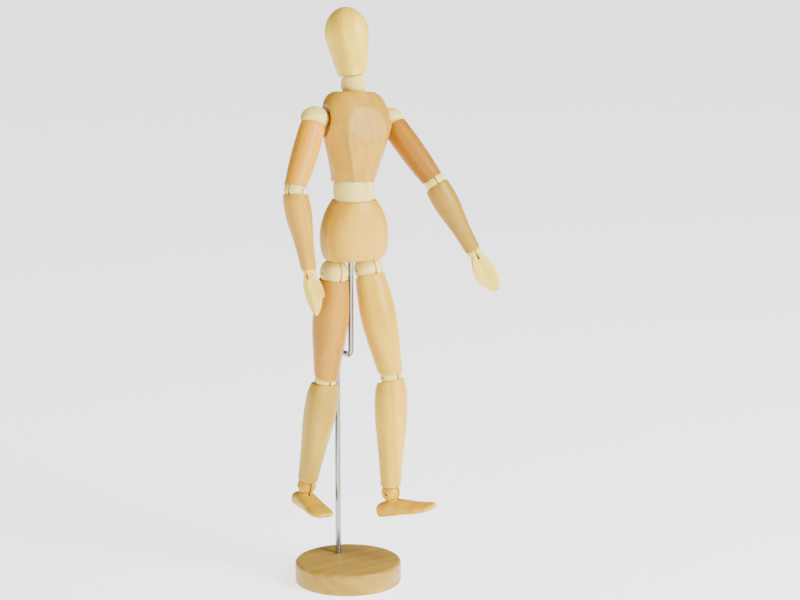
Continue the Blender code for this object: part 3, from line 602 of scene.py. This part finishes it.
# ---------------------------------------------------------------- limbs

def limb(cad_node, matrix, outer, length, top_cup, bottom_cup, slants):
    """A turned limb with a cup in each end.

    slants maps "top" or "bottom", an end cut on a slant, to the side that bends (1 is +Y) and
    the radius of the ball there.
    """
    rows = smooth_rows(outer, 7)
    (r0, z0), (r1, z1) = rows[0], rows[-1]
    rows = [row for row in rows if z1 + LIP < row[1] < z0 - LIP]
    rows = ([(r0 - LIP, z0), (r0 - LIP * 0.3, z0 - LIP * 0.3)] + rows
            + [(r1 - LIP * 0.3, z1 + LIP * 0.3), (r1 - LIP, z1)])

    def cup(radius, centre_z, rim_z, sense):
        rim = math.degrees(math.acos(abs(rim_z - centre_z) / radius))
        bore = math.degrees(math.asin(BORE_RADIUS / radius))
        return [(r, centre_z + sense * (z - centre_z))
                for r, z in arc(radius, centre_z, rim, bore, 16)]

    top = cup(top_cup, 0.0, z0, -1.0)
    bottom = cup(bottom_cup, -length, z1, 1.0)
    outline = rows[::-1] + top + bottom[::-1]

    def lift(y, z):
        for end, (side, ball_radius) in slants.items():
            corner = ball_radius + SLANT_MARGIN
            inner = corner / math.tan(math.radians(90.0 - HALF_BEND - SLANT_SLACK))
            outer_depth = ball_radius * SLANT_OUTER
            depth = (inner + outer_depth) / 2 + side * y / corner * (inner - outer_depth) / 2
            if end == "top":
                z = min(z, -depth)
            else:
                z = max(z, depth - length)
        return z

    piece = turned("wood_" + cad_node, outline, matrix, 72, closed=True, lift=lift)
    finish_piece(smooth(piece, SHARP_LIMB), cad_node)


# Outlines of the turned limbs: radius, height below the joint ball
UPPER_ARM_OUTER = [(6.9, -4.9), (7.1, -7.0), (7.2, -14.0), (7.1, -24.0), (6.7, -33.0),
                   (6.15, -40.0), (6.0, -43.2)]
FOREARM_OUTER = [(6.0, -0.6), (6.8, -3.2), (7.2, -7.5), (7.2, -14.0), (6.6, -20.0), (5.6, -27.0),
                 (4.8, -35.0), (4.45, -41.0), (4.4, -44.2)]
THIGH_OUTER = [(8.1, -4.0), (8.6, -6.6), (9.4, -14.0), (10.0, -23.0), (9.9, -31.0), (9.1, -40.0),
               (8.0, -49.0), (7.0, -57.0), (6.8, -61.0)]
CALF_OUTER = [(6.8, -0.4), (7.6, -3.2), (8.8, -8.5), (9.2, -15.0), (9.0, -24.0), (8.3, -33.0),
              (7.2, -44.0), (6.3, -55.0), (5.9, -61.0), (5.85, -64.2)]
HAND_LEVELS = [  # height, half width, half thickness, shift across the palm
    (-3.0, 3.2, 3.0, 0.0), (-6.0, 4.4, 3.3, 0.0), (-10.5, 5.9, 3.5, 0.3), (-15.0, 6.4, 3.4, 0.3),
    (-19.8, 5.5, 2.9, 0.0), (-24.2, 3.7, 2.2, -0.2), (-27.0, 1.6, 1.2, -0.2)]
HAND_PLANES = {  # direction, and reach along it from the wrist
    "left": [((0.24, 0.963, -0.12), 3.1), ((0.0, -1.0, -0.06), 3.5)],
    "right": [((0.42, 0.90, -0.10), 3.7), ((-0.42, 0.90, -0.10), 3.7), ((0.0, -1.0, -0.06), 3.5)]}
THUMB_STEP, THUMB_TOP, THUMB_FADE = 1.4, -16.4, 0.9
WRIST_ARC_START, WRIST_ARC = 176.0, 138.0  # the part of the wrist ball that is free of the palm
FOOT_STEM, FOOT_STEM_TOP = [(4.6, -8.0), (4.3, -5.0)], -4.3
FOOT_LEVELS = [  # distance behind the ankle, half width, sole, instep
    (10.4, 3.2, -12.7, -7.6), (9.4, 4.8, -13.4, -6.1), (6.5, 5.8, -13.6, -5.1),
    (0.0, 6.0, -13.6, -4.4), (-7.0, 6.2, -13.6, -5.9), (-13.0, 6.8, -13.6, -7.7),
    (-18.5, 7.0, -13.5, -8.7), (-23.0, 5.9, -13.0, -9.3), (-25.6, 3.4, -12.3, -9.9)]


def build_arm(side_name):
    """One arm from the shoulder's ball to the hand, each piece on the frame of its joint."""
    side = SIDES[side_name]
    name = side_name + "_"
    half, radius = SHOULDER_BALL
    shoulder = joint_at(name + "shoulder_swing")
    swing = axes_frame(shoulder, x=joint_axis(name + "shoulder_swing", -1.0),
                       y=joint_axis(name + "shoulder_raise", -side))
    outline = ball_outline(radius, half)
    piece = turned("wood_" + name + "shoulder_ball", outline, turned_about(swing, "Y", 90.0))
    open_end = half + OVERSHOOT
    bore = rod_cutter(SHOULDER_BORE_RADIUS, SHOULDER_BORE_START, open_end,
                      turned_about(swing, "Y", -90.0 * side), 24)
    hole_span = (-PIN_STOP, open_end) if side > 0 else (-open_end, PIN_STOP)
    cut_ball(piece, half, SHOULDER_KERF, swing, side * math.pi / 2, [bore], hole_span)
    finish_piece(smooth(piece), name + "shoulder_ball")
    pin(name + "shoulder_pin", swing, radius, axis="Y")

    down = joint_axis(name + "upper_arm_twist")
    lift = axes_frame(shoulder, y=joint_axis(name + "shoulder_raise", -side), z=down)
    hook(name + "upper_arm_hook", lift, radius, quarter_turn=True)
    arm = axes_frame(shoulder, x=joint_axis(name + "elbow_upper", -1.0), z=down)
    limb(name + "upper_arm", arm, UPPER_ARM_OUTER, UPPER_ARM, half + 0.2, ELBOW_BALL + CUP_GAP,
         {"bottom": (-1.0, ELBOW_BALL)})
    limb_spring(name + "upper_arm_spring", arm, UPPER_ARM, EYE_OFFSET)

    elbow = joint_at(name + "elbow_upper")
    low = joint_axis(name + "wrist_twist")
    middle = axes_frame(elbow, x=joint_axis(name + "elbow_upper", -1.0), z=down + low)
    ball(name + "elbow_ball", ELBOW_BALL, middle, HINGE_KERF)
    pin(name + "elbow_pin", middle, ELBOW_BALL)
    forearm = axes_frame(elbow, x=joint_axis(name + "elbow_lower", -1.0), z=low)
    hook(name + "forearm_hook", forearm, ELBOW_BALL, -EYE_OFFSET)
    limb(name + "forearm", forearm, FOREARM_OUTER, FOREARM, ELBOW_BALL + CUP_GAP,
         WRIST_BALL + CUP_GAP, {"top": (-1.0, ELBOW_BALL)})
    turn = axes_frame(elbow, x=joint_axis(name + "wrist_bend", -1.0), z=low)
    limb_spring(name + "forearm_spring", turn, FOREARM)
    build_hand(side_name, side, shifted(turn, 0.0, 0.0, -FOREARM))


def build_hand(side_name, side, wrist):
    """The wrist ball from its top down, then the palm; the right hand has a step for the thumb."""
    cad_node = side_name + "_hand"
    rings, steps = [], 18
    for i in range(steps + 1):
        angle = math.radians(WRIST_ARC_START - WRIST_ARC * i / steps)
        radius, z = WRIST_BALL * math.sin(angle), -WRIST_BALL * math.cos(angle)
        rings.append(oval(z, radius, radius))
    for z, w, t, shift in smooth_rows(HAND_LEVELS, 9):
        ring = planed([oval(z, w, t, centre_x=side * shift)], HAND_PLANES[side_name])[0]
        thumb = 0.0
        if side < 0:
            thumb = THUMB_STEP * max(0.0, min(1.0, (THUMB_TOP - z) / THUMB_FADE))
        rings.append([(x + thumb * max(0.0, -x / w), y, z) for x, y, z in ring])
    rings.reverse()
    piece = lofted("wood_" + cad_node, rings, wrist)
    cut_ball(piece, WRIST_BALL, WRIST_KERF, wrist)
    finish_piece(smooth(piece, SHARP_CARVED), cad_node)
    pin(side_name + "_wrist_pin", wrist, WRIST_BALL)


def build_leg(side_name):
    """One leg from the hip's ball to the foot, each piece on the frame of its joint."""
    side = SIDES[side_name]
    name = side_name + "_"
    hip = joint_at(name + "hip_spread")
    down, low = joint_axis(name + "thigh_twist"), joint_axis(name + "ankle_twist")
    spread = axes_frame(hip, x=joint_axis(name + "hip_swing", -1.0),
                        y=joint_axis(name + "hip_spread", -side))
    piece = turned("wood_" + name + "hip_ball", ball_outline(HIP_BALL), spread)
    bore = turned("cutter", HIP_FUNNEL, spread, 32)
    cut_ball(piece, HIP_BALL, HIP_KERF, spread, more=[bore])
    finish_piece(smooth(piece), name + "hip_ball")
    pin(name + "hip_pin", spread, HIP_BALL)
    swung = axes_frame(hip, x=joint_axis(name + "hip_swing", -1.0), z=down)
    hook(name + "thigh_hook", swung, HIP_BALL)

    thigh = axes_frame(hip, x=joint_axis(name + "knee_upper"), z=down)
    limb(name + "thigh", thigh, THIGH_OUTER, THIGH, HIP_BALL + CUP_GAP, KNEE_BALL + CUP_GAP,
         {"bottom": (1.0, KNEE_BALL)})
    limb_spring(name + "thigh_spring", thigh, THIGH, EYE_OFFSET)
    knee = joint_at(name + "knee_upper")
    middle = axes_frame(knee, x=joint_axis(name + "knee_upper"), z=down + low)
    ball(name + "knee_ball", KNEE_BALL, middle, HINGE_KERF, math.pi)
    pin(name + "knee_pin", middle, KNEE_BALL)
    calf = axes_frame(knee, x=joint_axis(name + "knee_lower"), z=low)
    hook(name + "calf_hook", calf, KNEE_BALL, -EYE_OFFSET)
    limb(name + "calf", calf, CALF_OUTER, CALF, KNEE_BALL + CUP_GAP, ANKLE_BALL + CUP_GAP,
         {"top": (1.0, KNEE_BALL)})
    turn = axes_frame(knee, x=joint_axis(name + "ankle_bend", -1.0), z=low)
    limb_spring(name + "calf_spring", turn, CALF)
    build_foot(side_name, turned_about(shifted(turn, 0.0, 0.0, -CALF), "X", -FOOT_PITCH))


def build_foot(side_name, ankle):
    """A foot lofted from heel to toe, joined to its ankle ball by a stem."""
    cad_node = side_name + "_foot"
    rings = []
    for y, w, sole, instep in smooth_rows(FOOT_LEVELS, 5):
        centre, half = (sole + instep) / 2, (instep - sole) / 2
        ring = oval(0.0, w, half, power=2.6, around=64)
        rings.append([(x, y, centre + up) for x, up, _ in ring])
    piece = lofted("wood_" + cad_node, rings, ankle)
    neck = [point for point in ball_outline(ANKLE_BALL) if point[1] > FOOT_STEM_TOP]
    stem = turned("stem", FOOT_STEM + neck, ankle, 64)
    cut(piece, [stem], "UNION")
    cut_ball(piece, ANKLE_BALL, ANKLE_KERF, ankle)
    finish_piece(smooth(piece, SHARP_CARVED), cad_node)
    pin(side_name + "_ankle_pin", ankle, ANKLE_BALL)


# ---------------------------------------------------------------- trunk, head and stand

PELVIS_LEVELS = [  # height over the waist's centre, half width, half depth
    (-37.4, 16.9, 12.4), (-36.2, 18.2, 13.2), (-32.0, 19.6, 14.0), (-26.0, 20.1, 14.6),
    (-20.0, 19.6, 14.6), (-14.0, 17.7, 14.0), (-9.0, 15.0, 13.2), (-5.9, 12.7, 12.4),
    (-5.0, 11.9, 11.9)]
CHEST_LEVELS = [  # height over the waist's centre, half width, half depth, shift in depth
    (5.0, 11.9, 11.9, 0.0), (5.8, 12.5, 12.3, -0.2), (9.0, 13.2, 12.6, -1.0),
    (18.5, 16.4, 13.0, -2.6), (28.0, 19.6, 13.6, -3.8), (34.0, 20.5, 13.6, -3.4),
    (40.0, 20.2, 13.0, -2.2), (45.0, 19.4, 12.2, -1.0), (49.5, 17.7, 10.9, 0.0),
    (52.5, 15.2, 9.6, 0.4), (54.2, 12.0, 8.4, 0.6)]
HEAD_LEVELS = [  # height over the neck ball's centre, half width, half depth
    (4.9, 7.3, 8.2), (10.3, 8.6, 9.8), (15.8, 9.6, 11.1), (21.2, 10.7, 12.3), (27.5, 11.6, 13.4),
    (32.0, 11.1, 12.9), (36.4, 9.4, 10.9), (39.6, 6.7, 7.8), (41.6, 3.7, 4.3), (42.4, 1.2, 1.4)]

SHOULDER_DISH = [(4.0, -7.4), (24.0, 2.4)]
NECK_FLARE = [(3.9, -8.0), (1.9, 0.0), (3.9, 8.0)]
CHEST_PLANES = [  # direction, and reach along it from the waist's centre
    ((0.0, -0.985, 0.17), 20.5), ((-0.80, -0.60, -0.31), 9.1), ((0.80, -0.60, -0.31), 9.1),
    ((-0.18, -0.96, -0.20), 10.3), ((0.18, -0.96, -0.20), 10.3)]

waist_at = joint_at("waist_bend")
PELVIS_FRAME = Matrix.Translation(waist_at)
BARREL_FRAME = axes_frame(waist_at, x=joint_axis("waist_bend"), y=joint_axis("waist_tilt"))
CHEST_FRAME = axes_frame(waist_at, x=joint_axis("neck_nod"), z=joint_axis("neck_turn"))
NECK_FRAME = shifted(CHEST_FRAME, *NECK)
NECK_BALL_FRAME = axes_frame(joint_at("neck_nod"), x=joint_axis("neck_nod"),
                             y=joint_axis("neck_tilt"))
HEAD_FRAME = turned_about(NECK_BALL_FRAME, "Y", HEAD_TILT)


def build_trunk():
    """The pelvis, its spring, the waist's spring and the loose barrel."""
    rings = [oval(z, w, d, power=2.15) for z, w, d in smooth_rows(PELVIS_LEVELS, 5)]
    pelvis = lofted("wood_pelvis", rings, PELVIS_FRAME)
    rod_y = (joint_at("figure_turn").y - waist_at.y) / MM
    cutters = [sphere_cutter(WAIST_CUP_RADIUS, PELVIS_FRAME),
               rod_cutter(BORE_RADIUS, WAIST_BORE_FLOOR, 0.0, PELVIS_FRAME),
               rod_cutter(ROD_HOLE_RADIUS, ROD_HOLE_LOW,
                          ROD_TOP_Z - waist_at.z / MM + ROD_TOP_GAP,
                          shifted(PELVIS_FRAME, 0.0, rod_y, 0.0))]
    for side in SIDES.values():
        hip = shifted(PELVIS_FRAME, side * HIP.x, HIP.y, HIP.z)
        cutters += [sphere_cutter(HIP_BALL + CUP_GAP, hip),
                    rod_cutter(BORE_RADIUS, 2.0, HIP_SPRING_RISE + HIP_BORE_SLACK, hip)]
    cut(pelvis, cutters)
    finish_piece(smooth(pelvis), "pelvis")

    x, rise, low, corner = HIP.x, HIP_SPRING_RISE, EYE_CLEARANCE, 1.2
    end = x - 4.5
    points = [(-x, 0.0, low), (-x, 0.0, rise - corner), (-x + corner, 0.0, rise)]
    points += coil(-end, end, 11, lambda turn, along: (
        along, COIL_RADIUS * math.sin(turn), rise + COIL_RADIUS * math.cos(turn)))
    points += [(x - corner, 0.0, rise), (x, 0.0, rise - corner), (x, 0.0, low)]
    spring = wire("steel_hip_spring", points, shifted(PELVIS_FRAME, 0.0, HIP.y, HIP.z))
    finish_piece(spring, "hip_spring", WIRE)

    coil_between("waist_spring", PELVIS_FRAME, low=-20.6, high=7.2, radius=1.4, turns=18)
    rim, end, flat, mouth, throat = BARREL_RADIUS - 0.45, BARREL_RADIUS - 2.0, 9.0, 4.9, 2.6
    edge = BARREL_HALF - 0.4
    outer = smooth_rows([(end, -edge), (rim, -5.0), (BARREL_RADIUS, -1.8), (BARREL_RADIUS, 1.8),
                         (rim, 5.0), (end, edge)], 6)
    outline = [(flat, -BARREL_HALF), *outer, (flat, BARREL_HALF), (mouth, BARREL_HALF),
               (throat, 0.0), (mouth, -BARREL_HALF)]
    barrel = turned("wood_waist_barrel", outline, BARREL_FRAME, 96, closed=True)
    finish_piece(smooth(barrel), "waist_barrel")


def build_chest():
    """The chest with its flats, cups and shoulder dishes, and the spring across it."""
    rings = [oval(z, w, d, y, power=2.2, around=240)
             for z, w, d, y in smooth_rows(CHEST_LEVELS, 9)]
    chest = lofted("wood_chest", planed(rings, CHEST_PLANES), CHEST_FRAME)
    across = turned_about(shifted(CHEST_FRAME, 0.0, SHOULDER.y, SHOULDER.z), "Y", 90.0)
    cutters = [sphere_cutter(WAIST_CUP_RADIUS, CHEST_FRAME),
               sphere_cutter(NECK_CUP_RADIUS, NECK_FRAME),
               rod_cutter(BORE_RADIUS, NECK_BORE_FLOOR, 0.0, NECK_FRAME),
               rod_cutter(BORE_RADIUS, -SHOULDER.x, SHOULDER.x, across)]
    half, radius = SHOULDER_BALL
    for side in SIDES.values():
        joint = shifted(CHEST_FRAME, side * SHOULDER.x, SHOULDER.y, SHOULDER.z)
        cutters.append(sphere_cutter(radius + CUP_GAP, turned_about(joint, "Y", 90.0),
                                     half + CUP_GAP))
        cutters.append(turned("cutter", SHOULDER_DISH, turned_about(joint, "Y", 90.0 * side), 96))
    cut(chest, cutters)
    finish_piece(smooth(chest), "chest")

    reach, end = SHOULDER.x - EYE_CLEARANCE, 11.0
    points = [(-reach, 0.0, 0.0), (-end - 1.5, 0.0, 0.0)]
    points += coil(-end, end, 16, lambda turn, along: (
        along, COIL_RADIUS * math.cos(turn), COIL_RADIUS * math.sin(turn)))
    points += [(end + 1.5, 0.0, 0.0), (reach, 0.0, 0.0)]
    spring = wire("steel_shoulder_spring", points,
                  shifted(CHEST_FRAME, 0.0, SHOULDER.y, SHOULDER.z))
    finish_piece(spring, "shoulder_spring", WIRE)


def build_head():
    """The neck's spring and ball, and the head."""
    coil_between("neck_spring", NECK_FRAME, low=-12.0, high=4.6, radius=0.9, turns=14)
    neck = turned("wood_neck_ball", ball_outline(NECK_BALL_RADIUS), NECK_BALL_FRAME, 80)
    cut(neck, [turned("cutter", NECK_FLARE, NECK_BALL_FRAME, 40)])
    finish_piece(smooth(neck), "neck_ball")
    rings = [oval(z, w, d) for z, w, d in smooth_rows(HEAD_LEVELS, 6)]
    head = lofted("wood_head", rings, HEAD_FRAME)
    cut(head, [sphere_cutter(NECK_CUP_RADIUS, HEAD_FRAME)])
    finish_piece(smooth(head), "head")


def build_stand():
    """The round base and the rod, which has one crank in it."""
    outline = [(BASE_RADIUS - 0.6, 0.0), (BASE_RADIUS - 0.2, 0.2), (BASE_RADIUS, 0.6)]
    for i in range(9):
        angle = math.radians(90.0 * i / 8)
        outline.append((BASE_RADIUS - BASE_EDGE + BASE_EDGE * math.cos(angle),
                        BASE_HEIGHT - BASE_EDGE + BASE_EDGE * math.sin(angle)))
    base = turned("wood_base", outline, Matrix.Identity(4), 160)
    foot = joint_at("stand_turn")
    hole = rod_cutter(ROD_HOLE_RADIUS, ROD_HOLE_FLOOR, BASE_HEIGHT + 5.0,
                      Matrix.Translation((foot.x, foot.y, 0.0)), 48)
    cut(base, [hole])
    finish_piece(smooth(base), "base")

    top_y = joint_at("figure_turn").y / MM
    foot_y, foot_z, steps = foot.y / MM, foot.z / MM, 14
    points = [(0.0, 0.0, 0.0)]
    back, front = foot_y - ROD_BEND, top_y + ROD_BEND
    for i in range(steps + 1):
        angle = math.pi / 2 * i / steps
        points.append((0.0, back - foot_y + ROD_BEND * math.cos(angle),
                       CRANK_HEIGHT - foot_z + ROD_BEND * (math.sin(angle) - 1.0)))
    for i in range(steps + 1):
        angle = math.pi / 2 * i / steps
        points.append((0.0, front - foot_y - ROD_BEND * math.sin(angle),
                       CRANK_HEIGHT - foot_z + ROD_BEND * (1.0 - math.cos(angle))))
    points.append((0.0, top_y - foot_y, ROD_TOP_Z - foot_z))
    rod = wire("steel_stand_rod", points, Matrix.Translation(foot), radius=ROD_RADIUS)
    rod.data.bevel_resolution = 10
    finish_piece(rod, "stand_rod", ROD)


build_stand()
build_trunk()
build_chest()
build_head()
for side_name in SIDES:
    build_arm(side_name)
    build_leg(side_name)


# ---------------------------------------------------------------- stage, light and camera

# In metres, degrees and watts
FLOOR_REACH, FLOOR_DROP = 4.0, 0.0002
LIGHT_TARGET = Vector((0.0, 0.0, 0.17))
CAMERA_REACH, CAMERA_HEIGHT = 1.356, 0.4539
CAMERA_AZIMUTH, CAMERA_YAW, CAMERA_PITCH = -32.0, -1.2448, 12.12
SENSOR_WIDTH, LENS = 36.0, 112.28


def add_area(name, at, power, width, height):
    """A soft rectangular light that looks at the middle of the figure."""
    data = bpy.data.lights.new(name, "AREA")
    data.energy = power
    data.shape = "RECTANGLE"
    data.size, data.size_y = width, height
    light = bpy.data.objects.new(name, data)
    bpy.context.scene.collection.objects.link(light)
    light.location = at
    light.rotation_mode = "QUATERNION"
    light.rotation_quaternion = (LIGHT_TARGET - Vector(at)).to_track_quat("-Z", "Y")


def build_stage():
    reach = FLOOR_REACH / MM
    corners = [(-reach, -reach, 0.0), (reach, -reach, 0.0), (reach, reach, 0.0),
               (-reach, reach, 0.0)]
    floor = new_mesh("floor", corners, [(0, 1, 2, 3)],
                     Matrix.Translation((0.0, 0.0, -FLOOR_DROP)))
    material, _, shader = new_material("floor_paper")
    shader.inputs["Base Color"].default_value = (0.9, 0.9, 0.9, 1.0)
    shader.inputs["Roughness"].default_value = 0.9
    shader.inputs["Emission Color"].default_value = (1.0, 1.0, 1.0, 1.0)
    shader.inputs["Emission Strength"].default_value = 2.0
    floor.data.materials.append(material)

    world = bpy.data.worlds.new("studio")
    bpy.context.scene.world = world
    world.use_nodes = True
    background = world.node_tree.nodes["Background"]
    background.inputs["Color"].default_value = (1.0, 1.0, 1.0, 1.0)
    background.inputs["Strength"].default_value = 0.35
    add_area("key", (0.55, -1.25, 0.95), power=62.0, width=0.6, height=1.1)
    add_area("strip", (-1.25, -0.75, 0.55), power=6.0, width=0.14, height=0.9)


def build_camera():
    azimuth, yaw, pitch = (math.radians(v) for v in (CAMERA_AZIMUTH, CAMERA_YAW, CAMERA_PITCH))
    place = Vector((math.sin(azimuth) * CAMERA_REACH, -math.cos(azimuth) * CAMERA_REACH,
                    CAMERA_HEIGHT))
    turn = azimuth + yaw
    back = Vector((math.sin(turn) * math.cos(pitch), -math.cos(turn) * math.cos(pitch),
                   math.sin(pitch)))
    data = bpy.data.cameras.new("camera")
    data.sensor_width = SENSOR_WIDTH
    data.lens = LENS
    data.clip_start, data.clip_end = 0.05, 20.0
    camera = bpy.data.objects.new("camera", data)
    bpy.context.scene.collection.objects.link(camera)
    right = Vector((math.cos(turn), math.sin(turn), 0.0))
    camera.matrix_world = axes_frame(place, x=right, z=back)
    bpy.context.scene.camera = camera


build_stage()
build_camera()
